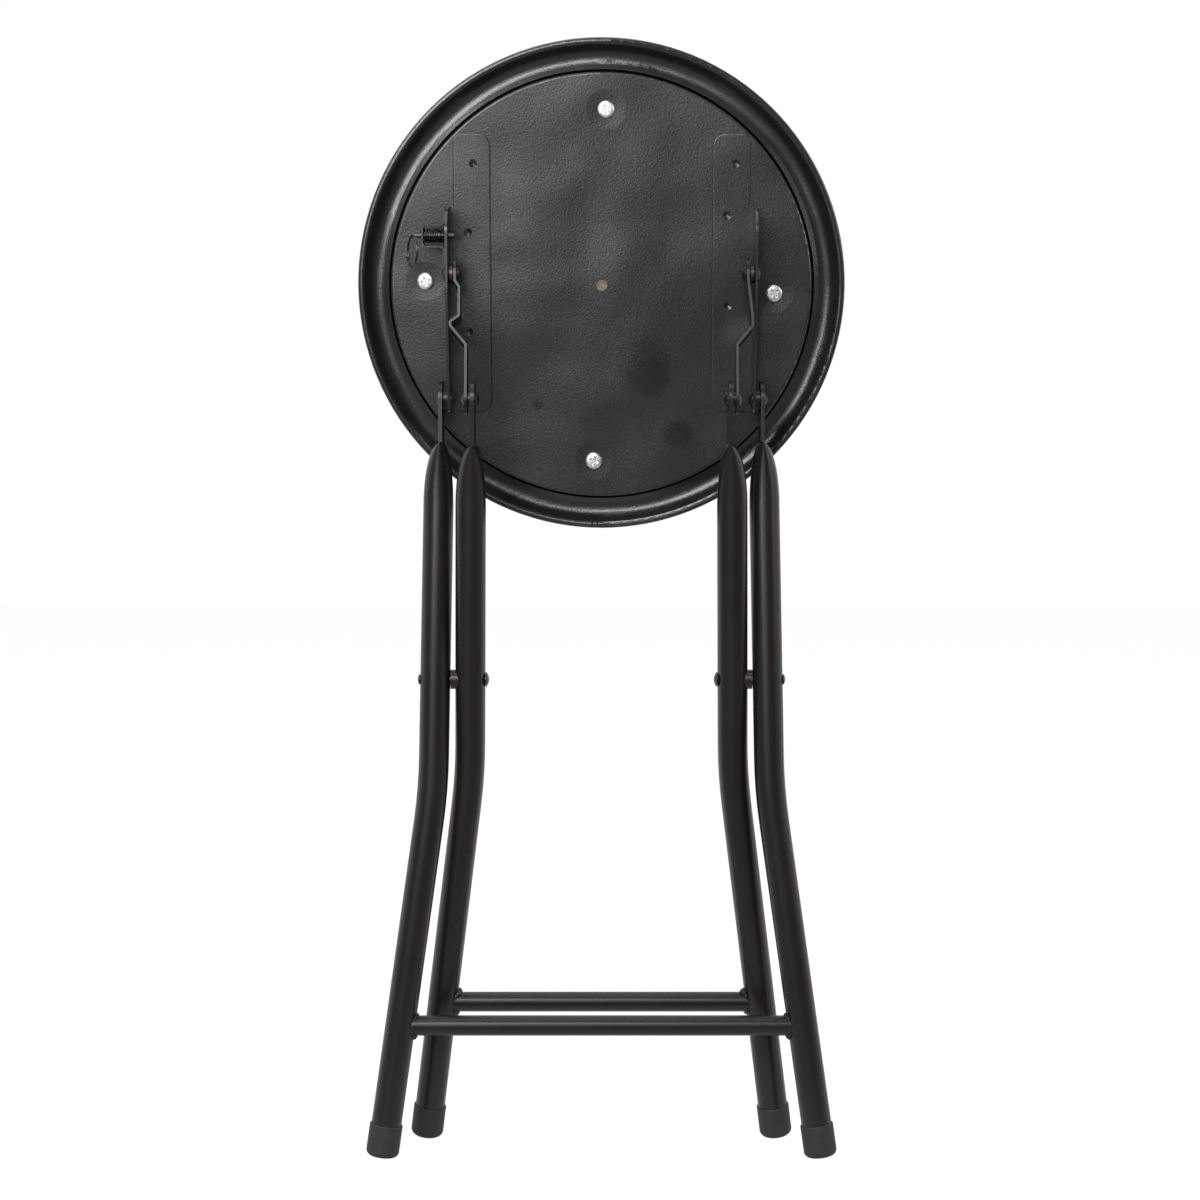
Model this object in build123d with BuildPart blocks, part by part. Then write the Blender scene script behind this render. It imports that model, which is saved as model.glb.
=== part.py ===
from build123d import *

import os
from math import asin, atan2, cos, degrees, hypot, pi, radians, sin, sqrt

# A round folding stool, folded nearly flat and standing on its four feet.
# Millimetres, +Z up, +X to the right, -Y towards the underside of the seat.
# Each moving body is drawn in a plane of its own: x to the right, y up along
# the body, z out of the seat's underside.

# Seat
seat_r = 150.0
sheet = 1.2
disc_r = 129.0
step_run = 1.6
step_drop = 7.4
trough_r = 139.5
trough_drop = 11.4
lip_r = 147.0
lip_drop = 3.2
lip_turn = 1.0
skirt_drop = 5.0
pan_bends = (1.5, 1.0, 8.0, 2.4, 1.5)
vent_r = 3.7
vent_y = 1.4
board_r = 125.0
board_t = 9.0
cushion_r = 143.0
cushion_top = 40.0
cushion_crown = 7.0
cushion_tuck = 10.0
belly_share = 0.45
hem_drop = 2.6
screw_circle_r = 107.0
screw_turn = -2.0
screw_mid_x = -1.0
screw_head_r = 5.25
screw_head_h = 2.4
screw_dome = 1.9
screw_shank_r = 2.0
screw_length = 8.0
screw_clear = 0.4
recess_length = 5.0
recess_width = 1.05
recess_depth = 1.4

# Fold: pivots on the brackets, measured from the middle of the seat's underside
leg_pivot_y = -67.4
leg_pivot_z = 14.5
link_pivot_y = 8.9
link_pivot_z = 22.0
upper_reach = 172.0
lower_reach = 293.5
half_open = 4.5
lean = 2.2
middle_y = -15.125

# Brackets, spot-welded to the pan
bracket_t = 1.5
flange_x = 93.3
base_inner_x = 67.7
base_outer_x = 90.5
base_top_y = 92.5
base_low_y = -76.5
flange_top_y = 49.0
flange_link_h = 31.0
flange_leg_h = 24.5
flange_corner_r = 9.0
flange_sweep_r = 30.0
flange_slope = 2.0
nose_length = 12.0
nose_drop = 8.0
ramp_start = 10.0
ramp_end = 12.0
heel_drop = 4.0
base_corner_r = 7.5
base_edge_r = 4.5
base_round = 0.8
weld_dimple_r = 1.7
weld_dimple_depth = 0.6
left_dimples = ((-78.1, 74.6), (-81.6, 33.2), (-81.6, -27.0))
right_dimples = ((81.8, 74.6), (76.6, 43.5), (77.7, -11.1))

# Legs and rungs
tube_r = 9.25
tube_wall = 1.2
tab_t = 2.4
tab_r = 11.5
tab_drop = 27.0
flare_drop = 66.0
flare_steps = 12
bend_r = 330.0
rung_r = 6.2
rung_wall = 1.0
outer_tab_x = 98.2
outer_top_x = 100.0
outer_cross_x = 102.0
outer_knee_drop = 67.0
outer_foot_x = 135.2
outer_rung_drop = 213.2
inner_tab_x = 77.4
inner_top_x = 79.3
inner_cross_x = 80.5
inner_knee_drop = 59.0
inner_foot_x = 111.1
inner_rung_drop = 207.2

# Feet
foot_r = 10.15
foot_h = 20.0
foot_floor = 4.0
foot_round = 3.6
foot_lip_round = 0.8
slip = 0.05

# Links, rivets and washers
link_t = 1.5
link_r = 9.5
link_rest_x = 4.4
link_pass_x = 1.8
link_guide_x = 7.0
link_leg_x = 11.2
link_bend_r = 1.2
link_spare = 1.0
link_spacer_r = 5.6
end_collar_r = 5.2
lock_hole_clear = 0.3
rivet_r = 3.0
rivet_head_r = 4.6
rivet_head_h = 2.6
rivet_rim = 0.5
washer_r = 6.5
play = 0.2
cross_rivet_r = 2.5
cross_head_r = 4.5
cross_head_h = 2.1
cross_end_r = 3.2
cross_end_h = 1.4
cross_spacer_r = 6.0
cross_gap = 0.3

# Lock: a sprung pin in a cage on the left bracket
pin_r = 1.6
pin_y = 31.6
pin_tip = 5.8
pin_push = 2.2
pin_point = 2.4
pin_point_r = 0.5
pin_tail_x = 116.5
pin_chamfer = 0.5
collar_r = 3.0
collar_w = 1.6
collar_clear = 0.6
cage_strip = 1.0
cage_out = 14.3
cage_arm = 6.55
cage_foot = 17.0
cage_depth = 12.0
cage_corner_r = 2.6
spring_r = 4.0
spring_wire = 0.8
spring_turns = 8
samples_per_turn = 40
ring_r = 9.3
ring_wire_r = 0.55
ring_hole_r = 1.1
ring_hole_x = 114.2
ring_turn = 12.0

# Fold geometry: the two frames and the two links make a kite
link_length = hypot(link_pivot_y - leg_pivot_y, link_pivot_z - leg_pivot_z)
half_link = degrees(asin(upper_reach * sin(radians(half_open)) / link_length))
bracket_rise = degrees(atan2(link_pivot_z - leg_pivot_z, link_pivot_y - leg_pivot_y))
outer_tilt = half_open - lean
inner_tilt = -half_open - lean
seat_tilt = bracket_rise - half_link - lean
link_tilt = half_link - lean
flange_in = flange_x - bracket_t / 2
flange_out = flange_x + bracket_t / 2

os.makedirs("parts", exist_ok=True)


def body_plane(tilt, origin):
    """The drawing plane of a body whose top leans back by tilt degrees."""
    lean_back = radians(tilt)
    return Plane(origin=origin, x_dir=(1, 0, 0), z_dir=(0, -cos(lean_back), sin(lean_back)))


def side_plane(body, x):
    """A plane across the stool at x: its x is the body's y, its y the body's z."""
    return Plane(origin=body.from_local_coords((x, 0, 0)), x_dir=body.y_dir, z_dir=body.x_dir)


def save(piece, label):
    piece.part.label = label
    export_step(piece.part, f"parts/{label}.step")


def knee_x(cross_x, top_x, knee_drop):
    """The straight upper run carried on down to the knee."""
    return cross_x + (cross_x - top_x) * knee_drop / (upper_reach - flare_drop)


def sole_depth(cross_x, top_x, knee_drop, foot_x, tilt, reach):
    """How far below the crossing a foot's lowest point is."""
    run = foot_x - knee_x(cross_x, top_x, knee_drop)
    fall = reach - knee_drop
    upright = cos(radians(tilt)) * fall / hypot(run, fall)
    flat_r = foot_r - foot_round
    edge = flat_r * sqrt(1 - upright**2) + foot_round * (1 - upright)
    return reach * cos(radians(tilt)) + edge


# The crossing is as high as the outer feet need, and the inner feet reach the same floor
outer_shape = (outer_cross_x, outer_top_x, outer_knee_drop, outer_foot_x)
inner_shape = (inner_cross_x, inner_top_x, inner_knee_drop, inner_foot_x)
cross_z = sole_depth(*outer_shape, outer_tilt, lower_reach)
inner_reach = lower_reach
for _ in range(4):
    inner_reach += cross_z - sole_depth(*inner_shape, inner_tilt, inner_reach)

crossing = Vector(0, middle_y, cross_z)
outer_body = body_plane(outer_tilt, crossing)
inner_body = body_plane(inner_tilt, crossing)
leg_pivot = outer_body.from_local_coords((0, upper_reach, 0))
seat_axes = body_plane(seat_tilt, (0, 0, 0))
seat_middle = leg_pivot - seat_axes.from_local_coords((0, leg_pivot_y, leg_pivot_z))
seat_body = body_plane(seat_tilt, seat_middle)
link_pivot = seat_body.from_local_coords((0, link_pivot_y, link_pivot_z))
link_body = body_plane(link_tilt, link_pivot)
pin_z = link_pivot_z - (pin_y - link_pivot_y) * sin(radians(bracket_rise)) / cos(radians(bracket_rise))
half_plane = Plane(origin=seat_body.origin, x_dir=seat_body.x_dir, z_dir=-seat_body.y_dir)
seat_axis = Axis(seat_body.origin, seat_body.z_dir)


def screw_places():
    """The four cushion screws on the pan, as places in the seat's plane."""
    middle = Location((screw_mid_x, 0, 0))
    ring = PolarLocations(screw_circle_r, 4, start_angle=screw_turn)
    return Locations(*[middle * place for place in ring.local_locations])


# Seat pan: a pressed disc, raised in the middle, with a trough and a rolled lip
with BuildPart() as seat_pan:
    with BuildSketch(half_plane):
        with BuildLine():
            skin = FilletPolyline(
                (0, 0),
                (disc_r, 0),
                (disc_r + step_run, -step_drop),
                (trough_r, -trough_drop),
                (lip_r, -lip_drop),
                (seat_r, -lip_drop - lip_turn),
                (seat_r, -lip_drop - skirt_drop),
                radius=pan_bends,
            )
            offset(skin, amount=sheet, side=Side.RIGHT)
        make_face()
    revolve(axis=seat_axis)
    with BuildSketch(seat_body):
        with Locations((0, vent_y)):
            Circle(vent_r)
        with screw_places():
            Circle(screw_shank_r + screw_clear)
    extrude(amount=-2 * sheet, mode=Mode.SUBTRACT)
save(seat_pan, "seat_pan")

# Seat board inside the pan
with BuildPart() as seat_board:
    with BuildSketch(seat_body.offset(-sheet)):
        Circle(board_r)
        with screw_places():
            Circle(screw_shank_r + slip, mode=Mode.SUBTRACT)
    extrude(amount=-board_t)
save(seat_board, "seat_board")

# Cushion: a crowned round pad, drawn in above the board
cushion_low = sheet + board_t
cushion_belly = cushion_low + belly_share * (cushion_top - cushion_low)
cushion_hem = (cushion_r - cushion_tuck, -cushion_low - hem_drop)
cushion_brow = (cushion_r - cushion_tuck, cushion_crown - cushion_top)
with BuildPart() as seat_cushion:
    with BuildSketch(half_plane):
        with BuildLine():
            Polyline((0, -cushion_top), (0, -cushion_low), (board_r, -cushion_low), cushion_hem)
            ThreePointArc(cushion_hem, (cushion_r, -cushion_belly), cushion_brow)
            TangentArc((0, -cushion_top), cushion_brow, tangent=(1, 0))
        make_face()
    revolve(axis=seat_axis)
save(seat_cushion, "seat_cushion")

# Cushion screws: pan heads with a cross recess, through the pan into the board
with BuildPart() as cushion_screws:
    with BuildSketch(seat_body):
        with screw_places():
            Circle(screw_head_r)
    extrude(amount=screw_head_h)
    rims = cushion_screws.edges().filter_by(GeomType.CIRCLE).group_by(seat_axis)[-1]
    fillet(rims, radius=screw_dome)
    with BuildSketch(seat_body):
        with screw_places():
            Circle(screw_shank_r)
    extrude(amount=-screw_length)
    with BuildSketch(seat_body.offset(screw_head_h)):
        with screw_places():
            Rectangle(recess_length, recess_width)
            Rectangle(recess_width, recess_length)
    extrude(amount=-recess_depth, mode=Mode.SUBTRACT)
save(cushion_screws, "cushion_screws")


def make_bracket(side, dimples, pin_hole):
    """An angle bracket: a base on the pan and a flange that carries the pivots."""
    base_mid_x = (base_inner_x + base_outer_x) / 2
    fold_w = flange_out - base_outer_x + 2 * base_round
    with BuildPart() as bracket:
        with BuildSketch(seat_body):
            with Locations((side * base_mid_x, (base_top_y + base_low_y) / 2)):
                Rectangle(base_outer_x - base_inner_x, base_top_y - base_low_y)
        extrude(amount=bracket_t)
        inward = Axis(seat_body.origin, -side * seat_body.x_dir)
        fillet(bracket.edges().filter_by(seat_axis).group_by(inward)[-1], radius=base_corner_r)
        flange_corners = bracket.edges().filter_by(seat_axis).group_by(inward)[0]
        fillet(flange_corners.sort_by(Axis(seat_body.origin, seat_body.y_dir))[-1], radius=base_edge_r)
        fillet(bracket.faces().sort_by(seat_axis)[-1].edges(), radius=base_round)
        with BuildSketch(seat_body):
            with Locations((side * (flange_out - fold_w / 2), (flange_top_y + base_low_y) / 2)):
                Rectangle(fold_w, flange_top_y - base_low_y)
        extrude(amount=bracket_t)
        with BuildSketch(side_plane(seat_body, side * flange_x)):
            with BuildLine():
                outline = FilletPolyline(
                    (flange_top_y, 0),
                    (flange_top_y - flange_slope, flange_link_h - nose_drop),
                    (flange_top_y - nose_length, flange_link_h),
                    (link_pivot_y - ramp_start, flange_link_h),
                    (leg_pivot_y + ramp_end, flange_leg_h),
                    (base_low_y, flange_leg_h - heel_drop),
                    (base_low_y, 0),
                    radius=(*2 * [flange_corner_r], *2 * [flange_sweep_r], flange_corner_r),
                )
                Line(outline @ 1, outline @ 0)
            make_face()
            with Locations((leg_pivot_y, leg_pivot_z), (link_pivot_y, link_pivot_z)):
                Circle(rivet_r + slip, mode=Mode.SUBTRACT)
            if pin_hole:
                with Locations((pin_y, pin_z)):
                    Circle(pin_r + slip, mode=Mode.SUBTRACT)
        extrude(amount=bracket_t / 2, both=True)
        with BuildSketch(seat_body.offset(bracket_t)):
            with Locations(*dimples):
                Circle(weld_dimple_r)
        extrude(amount=-weld_dimple_depth, mode=Mode.SUBTRACT)
    return bracket


save(make_bracket(-1, left_dimples, True), "left_bracket")
save(make_bracket(1, right_dimples, False), "right_bracket")


def rod(start_x, end_x, radius, body, y, z):
    """A round bar along X, from one x to another, centred on a body's y and z."""
    with BuildSketch(side_plane(body, start_x)) as end:
        with Locations((y, z)):
            Circle(radius)
    extrude(end.sketch, amount=end_x - start_x)


def dome(face_x, end_x, radius, body, y, z):
    """A rivet's domed head along X, standing on the face at face_x."""
    face = body.from_local_coords((face_x, y, z))
    out = body.x_dir if end_x > face_x else -body.x_dir
    height = abs(end_x - face_x)
    with BuildSketch(Plane(origin=face, x_dir=out, z_dir=body.z_dir)) as section:
        with BuildLine():
            Polyline((height, 0), (0, 0), (0, radius), (rivet_rim, radius))
            TangentArc((height, 0), (rivet_rim, radius), tangent=(0, 1))
        make_face()
    revolve(section.sketch, axis=Axis(face, out))


# Leg rivets and washers at the top of the outer legs
tab_in = outer_tab_x - tab_t / 2
tab_out = outer_tab_x + tab_t / 2
leg_rivet_out = tab_out + play
with BuildPart() as leg_rivets:
    for side in (-1, 1):
        rod(side * flange_in, side * leg_rivet_out, rivet_r, seat_body, leg_pivot_y, leg_pivot_z)
        dome(side * leg_rivet_out, side * (leg_rivet_out + rivet_head_h), rivet_head_r,
             seat_body, leg_pivot_y, leg_pivot_z)
        dome(side * flange_in, side * (flange_in - rivet_head_h), rivet_head_r,
             seat_body, leg_pivot_y, leg_pivot_z)
save(leg_rivets, "leg_rivets")

with BuildPart() as leg_washers:
    for side in (-1, 1):
        with BuildSketch(side_plane(seat_body, side * flange_out)):
            with Locations((leg_pivot_y, leg_pivot_z)):
                Circle(washer_r)
                Circle(rivet_r + slip, mode=Mode.SUBTRACT)
        extrude(amount=side * (tab_in - play - flange_out))
save(leg_washers, "leg_washers")

# Link rivets and spacers at the top of the links
link_face = flange_in - link_rest_x + link_t / 2
link_back = link_face - link_t
with BuildPart() as link_rivets:
    for side in (-1, 1):
        rod(side * (link_back - play), side * flange_out, rivet_r, seat_body, link_pivot_y, link_pivot_z)
        dome(side * flange_out, side * (flange_out + rivet_head_h), rivet_head_r,
             seat_body, link_pivot_y, link_pivot_z)
        dome(side * (link_back - play), side * (link_back - play - rivet_head_h), rivet_head_r,
             seat_body, link_pivot_y, link_pivot_z)
save(link_rivets, "link_rivets")

with BuildPart() as link_spacers:
    for side in (-1, 1):
        with BuildSketch(side_plane(seat_body, side * flange_in)):
            with Locations((link_pivot_y, link_pivot_z)):
                Circle(link_spacer_r)
                Circle(rivet_r + slip, mode=Mode.SUBTRACT)
        extrude(amount=side * (link_face + play - flange_in))
save(link_spacers, "link_spacers")


def make_link(side, run):
    """A bent strip from the bracket to the inner leg; run lists its bends as (drop, inset)."""
    with BuildPart() as link:
        with BuildSketch(link_body):
            with BuildLine():
                bends = [(side * (flange_in - inset), -drop) for drop, inset in run]
                strip = FilletPolyline(*bends, radius=link_bend_r)
                offset(strip, amount=link_t / 2, side=Side.BOTH)
            make_face()
        extrude(amount=link_r, both=True)
        with BuildSketch(side_plane(link_body, 0)):
            with Locations((-link_length / 2, 0)):
                SlotCenterToCenter(link_length, 2 * link_r)
            with Locations((0, 0), (-link_length, 0)):
                Circle(rivet_r + slip, mode=Mode.SUBTRACT)
            if side < 0:
                with Locations((-hypot(pin_y - link_pivot_y, pin_z - link_pivot_z), 0)):
                    Circle(pin_r + lock_hole_clear, mode=Mode.SUBTRACT)
        extrude(amount=side * flange_out, mode=Mode.INTERSECT)
    return link


link_top = -link_r - link_spare
link_end = link_length + link_r + link_spare
guide_run = (
    (link_top, link_rest_x),
    (6.0, link_rest_x),
    (10.0, link_guide_x),
    (27.5, link_guide_x),
    (31.0, link_pass_x),
    (33.5, link_pass_x),
    (45.0, link_leg_x),
    (link_end, link_leg_x),
)
plain_run = (
    (link_top, link_rest_x),
    (6.0, link_rest_x),
    (29.0, link_pass_x),
    (33.5, link_pass_x),
    (45.0, link_leg_x),
    (link_end, link_leg_x),
)
save(make_link(-1, guide_run), "left_link")
save(make_link(1, plain_run), "right_link")

# Rivets of the open joint between links and inner legs: one half on each body
link_out = flange_in - link_leg_x + link_t / 2
link_in = link_out - link_t
inner_tab_out = inner_tab_x + tab_t / 2
inner_tab_in = inner_tab_x - tab_t / 2
collar_end = inner_tab_out + 2 * play
with BuildPart() as link_end_rivets:
    for side in (-1, 1):
        rod(side * link_in, side * link_out, rivet_r, link_body, -link_length, 0)
        dome(side * link_out, side * (link_out + rivet_head_h), rivet_head_r, link_body, -link_length, 0)
        rod(side * collar_end, side * link_in, end_collar_r, link_body, -link_length, 0)
save(link_end_rivets, "link_end_rivets")

with BuildPart() as inner_leg_rivets:
    for side in (-1, 1):
        rod(side * inner_tab_in, side * inner_tab_out, rivet_r, inner_body, upper_reach, 0)
        dome(side * inner_tab_in, side * (inner_tab_in - rivet_head_h), rivet_head_r,
             inner_body, upper_reach, 0)
save(inner_leg_rivets, "inner_leg_rivets")


def foot_place(body, side, cross_x, top_x, knee_drop, foot_x, reach):
    """The plane of a foot's sole, facing up the leg."""
    knee = body.from_local_coords((side * knee_x(cross_x, top_x, knee_drop), -knee_drop, 0))
    sole = body.from_local_coords((side * foot_x, -reach, 0))
    return Plane(origin=sole, x_dir=-body.z_dir, z_dir=knee - sole)


def make_leg(body, side, tab_x, shape, reach):
    """A bent tube with a flattened, drilled top."""
    cross_x, top_x, knee_drop, foot_x = shape
    sole = foot_place(body, side, *shape, reach)
    tube_end = body.to_local_coords(sole.origin + sole.z_dir * foot_floor)
    flare_y = upper_reach - flare_drop
    with BuildPart() as leg:
        with BuildLine(body) as run:
            FilletPolyline(
                (side * top_x, flare_y),
                (side * knee_x(cross_x, top_x, knee_drop), -knee_drop),
                (tube_end.X, tube_end.Y),
                radius=bend_r,
            )
        path = run.wires()[0]
        throat = Plane(origin=path @ 0, x_dir=body.x_dir, z_dir=-(path % 0))
        with BuildSketch(throat):
            Circle(tube_r)
            Circle(tube_r - tube_wall, mode=Mode.SUBTRACT)
        sweep(path=path)
        with BuildSketch(throat):
            Circle(tube_r)
        for step in reversed(range(flare_steps)):
            turn = radians(90 * step / flare_steps)
            swell = sin(turn)
            flat = cos(turn)
            middle_x = tab_x + (top_x - tab_x) * swell
            middle = (side * middle_x, upper_reach - flare_drop + flat * (flare_drop - tab_drop), 0)
            across = Plane(origin=body.from_local_coords(middle), x_dir=body.x_dir, z_dir=body.y_dir)
            with BuildSketch(across):
                Ellipse(tab_t / 2 + (tube_r - tab_t / 2) * swell, tube_r + (tab_r - tube_r) * flat**2)
        loft(ruled=True)
        with BuildSketch(side_plane(body, side * tab_x)):
            with Locations((upper_reach - tab_drop / 2, 0)):
                Rectangle(tab_drop, 2 * tab_r)
            with Locations((upper_reach, 0)):
                Circle(tab_r)
        extrude(amount=tab_t / 2, both=True)
        with BuildSketch(side_plane(body, side * tab_x)):
            with Locations((upper_reach, 0)):
                Circle(rivet_r + slip)
        extrude(amount=2 * tab_t, both=True, mode=Mode.SUBTRACT)
        with BuildSketch(side_plane(body, side * cross_x)):
            Circle(cross_rivet_r + slip)
        extrude(amount=2 * tube_r, both=True, mode=Mode.SUBTRACT)
    return leg


def make_foot(body, side, shape, reach):
    """A moulded cap pushed over the end of a leg."""
    sole = foot_place(body, side, *shape, reach)
    up = Axis(sole.origin, sole.z_dir)
    with BuildPart() as foot:
        with BuildSketch(sole):
            Circle(foot_r)
        extrude(amount=foot_h)
        with BuildSketch(sole.offset(foot_floor)):
            Circle(tube_r + slip)
        extrude(amount=foot_h, mode=Mode.SUBTRACT)
        rings = foot.edges().filter_by(GeomType.CIRCLE).group_by(up)
        fillet(rings[0], radius=foot_round)
        mouth = foot.edges().filter_by(GeomType.CIRCLE).group_by(up)[-1].sort_by(SortBy.RADIUS)
        fillet(mouth[-1], radius=foot_lip_round)
    return foot


def make_rung(body, shape, drop, reach):
    """A straight tube between two legs, its ends shaped to them."""
    cross_x, top_x, knee_drop, foot_x = shape
    knee = knee_x(cross_x, top_x, knee_drop)
    half = knee + (foot_x - knee) * (drop - knee_drop) / (reach - knee_drop)
    with BuildPart() as rung:
        with BuildSketch(side_plane(body, -half)):
            with Locations((-drop, 0)):
                Circle(rung_r)
                Circle(rung_r - rung_wall, mode=Mode.SUBTRACT)
        extrude(amount=2 * half)
        for side in (-1, 1):
            sole = foot_place(body, side, *shape, reach)
            with BuildSketch(sole):
                Circle(tube_r)
            extrude(amount=reach - knee_drop, mode=Mode.SUBTRACT)
    return rung


frames = (
    ("outer", outer_body, outer_tab_x, outer_shape, lower_reach, outer_rung_drop),
    ("inner", inner_body, inner_tab_x, inner_shape, inner_reach, inner_rung_drop),
)
for frame_name, body, tab_x, shape, reach, rung_drop in frames:
    for side, side_name in ((-1, "left"), (1, "right")):
        save(make_leg(body, side, tab_x, shape, reach), f"{side_name}_{frame_name}_leg")
        save(make_foot(body, side, shape, reach), f"{side_name}_{frame_name}_foot")
    save(make_rung(body, shape, rung_drop, reach), f"{frame_name}_rung")

# Cross rivets and spacers, where the frames cross
cross_body = body_plane(0, crossing)
cross_out = outer_cross_x + tube_r + play
cross_in = inner_cross_x - tube_r - play
spacer_out = outer_cross_x - tube_r - cross_gap
with BuildPart() as cross_rivets:
    for side in (-1, 1):
        rod(side * cross_in, side * cross_out, cross_rivet_r, cross_body, 0, 0)
        dome(side * cross_out, side * (cross_out + cross_end_h), cross_end_r, cross_body, 0, 0)
        dome(side * cross_in, side * (cross_in - cross_head_h), cross_head_r, cross_body, 0, 0)
save(cross_rivets, "cross_rivets")

# Spacers saddled on the inner legs
inner_knee_x = knee_x(*inner_shape[:3])
inner_run_top = upper_reach - flare_drop
with BuildPart() as cross_spacers:
    for side in (-1, 1):
        with BuildSketch(side_plane(cross_body, side * inner_cross_x)):
            Circle(cross_spacer_r)
            Circle(cross_rivet_r + slip, mode=Mode.SUBTRACT)
        extrude(amount=side * (spacer_out - inner_cross_x))
        run_low = inner_body.from_local_coords((side * inner_knee_x, -inner_knee_drop, 0))
        run_high = inner_body.from_local_coords((side * inner_top_x, inner_run_top, 0))
        with BuildSketch(Plane(origin=run_low, x_dir=-inner_body.z_dir, z_dir=run_high - run_low)):
            Circle(tube_r)
        extrude(amount=inner_knee_drop + inner_run_top, mode=Mode.SUBTRACT)
save(cross_spacers, "cross_spacers")

# Lock cage: a strip bent to a hat over the pin, its feet on the bracket's flange
cage_end_x = flange_out + cage_out - cage_strip
brim_x = flange_out + cage_strip / 2
crown_x = cage_end_x + cage_strip / 2
with BuildPart() as lock_cage:
    with BuildSketch(seat_body.offset(pin_z - cage_depth / 2)):
        with BuildLine():
            strip = FilletPolyline(
                (-brim_x, pin_y + cage_foot),
                (-brim_x, pin_y + cage_arm),
                (-crown_x, pin_y + cage_arm),
                (-crown_x, pin_y - cage_arm),
                (-brim_x, pin_y - cage_arm),
                (-brim_x, pin_y - cage_foot),
                radius=cage_corner_r,
            )
            offset(strip, amount=cage_strip / 2, side=Side.BOTH)
        make_face()
    extrude(amount=cage_depth)
    with BuildSketch(side_plane(seat_body, -cage_end_x - cage_strip)):
        with Locations((pin_y, pin_z)):
            Circle(pin_r + slip)
    extrude(amount=cage_strip, mode=Mode.SUBTRACT)
    with BuildSketch(side_plane(seat_body, -flange_out)):
        Rectangle(4 * seat_r, 4 * seat_r)
    extrude(amount=cage_strip, mode=Mode.SUBTRACT)
save(lock_cage, "lock_cage")

# Lock pin with its collar and a cross hole for the ring
with BuildPart() as lock_pin:
    rod(-pin_tail_x, -flange_in + pin_tip, pin_r, seat_body, pin_y, pin_z)
    tip = lock_pin.edges().filter_by(GeomType.CIRCLE).sort_by(Axis.X)[-1]
    chamfer(tip, length=pin_point, length2=pin_r - pin_point_r)
    tail = lock_pin.edges().filter_by(GeomType.CIRCLE).sort_by(Axis.X)[0]
    chamfer(tail, length=pin_chamfer)
    with BuildSketch(seat_body):
        with Locations((-ring_hole_x, pin_y)):
            Circle(ring_hole_r)
    extrude(amount=2 * pin_z, mode=Mode.SUBTRACT)
save(lock_pin, "lock_pin")

collar_x = flange_out + pin_push + collar_clear
with BuildPart() as pin_collar:
    with BuildSketch(side_plane(seat_body, -collar_x)):
        with Locations((pin_y, pin_z)):
            Circle(collar_r)
            Circle(pin_r, mode=Mode.SUBTRACT)
    extrude(amount=-collar_w)
save(pin_collar, "pin_collar")


def biarc(start, start_way, end, end_way):
    """Two tangent arcs from one point and direction to another."""
    gap = end - start
    ways = start_way + end_way
    spread = 2 * (1 - start_way.dot(end_way))
    reach = (-gap.dot(ways) + sqrt(gap.dot(ways) ** 2 + spread * gap.dot(gap))) / spread
    first = start + start_way * reach
    last = end - end_way * reach
    joint = (first + last) * 0.5
    TangentArc(start, joint, tangent=start_way)
    TangentArc(joint, end, tangent=(last - first).normalized())


# Lock spring: an open coil round the pin, between the cage's end and the flange
spring_room = cage_out - cage_strip - 2 * play - spring_wire
spring_pitch = spring_room / spring_turns
spring_start = side_plane(seat_body, -cage_end_x + play + spring_wire / 2)


def spring_point(turn):
    """A point of the coil's wire and its direction there."""
    angle = 2 * pi * turn
    round_y = spring_r * cos(angle)
    round_z = spring_r * sin(angle)
    place = spring_start.from_local_coords((pin_y + round_y, pin_z + round_z, spring_pitch * turn))
    way = (
        spring_start.x_dir * (-2 * pi * round_z)
        + spring_start.y_dir * (2 * pi * round_y)
        + spring_start.z_dir * spring_pitch
    )
    return place, way.normalized()


with BuildPart() as lock_spring:
    with BuildLine() as coil:
        first, first_way = spring_point(0)
        Line(first - first_way * spring_wire, first)
        for quarter in range(4 * spring_turns):
            biarc(*spring_point(quarter / 4), *spring_point((quarter + 1) / 4))
        last, last_way = spring_point(spring_turns)
        Line(last, last + last_way * spring_wire)
    wire_path = coil.wires()[0]
    with BuildSketch(Plane(origin=wire_path @ 0, z_dir=wire_path % 0)):
        Circle(spring_wire / 2)
    sweep(path=wire_path)
save(lock_spring, "lock_spring")

samples = samples_per_turn * spring_turns
wire_points = [wire_path @ (i / samples) for i in range(samples + 1)]
apart = [
    (wire_points[i] - wire_points[j]).length
    for i in range(samples + 1)
    for j in range(i + samples_per_turn // 2, samples + 1)
]
print(f"lock_spring: least gap to itself {min(apart) - spring_wire:.2f} mm")

# Pull ring, hanging from the pin's tail
with BuildPart() as pull_ring:
    hole = seat_body.from_local_coords((-ring_hole_x, pin_y, pin_z))
    across = Vector(cos(radians(ring_turn)), sin(radians(ring_turn)), 0)
    with BuildSketch(Plane(origin=hole, x_dir=across, z_dir=across.cross(Vector(0, 0, 1)))):
        Circle(ring_wire_r)
    revolve(axis=Axis(hole - Vector(0, 0, ring_r), across))
save(pull_ring, "pull_ring")

# Sizes that the record needs
leg_top = inner_body.from_local_coords((0, upper_reach, 0))
print(f"crossing y {crossing.Y:.2f} z {crossing.Z:.2f}, inner reach {inner_reach:.2f}")
print(f"leg pivot {leg_pivot.Y:.2f} {leg_pivot.Z:.2f}, link pivot {link_pivot.Y:.2f} {link_pivot.Z:.2f}")
print(f"inner leg pivot {leg_top.Y:.2f} {leg_top.Z:.2f}, tilts {outer_tilt:.2f} {inner_tilt:.2f} "
      f"{seat_tilt:.2f} {link_tilt:.2f}")
print(f"ring hole {hole.X:.2f} {hole.Y:.2f} {hole.Z:.2f}")
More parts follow.
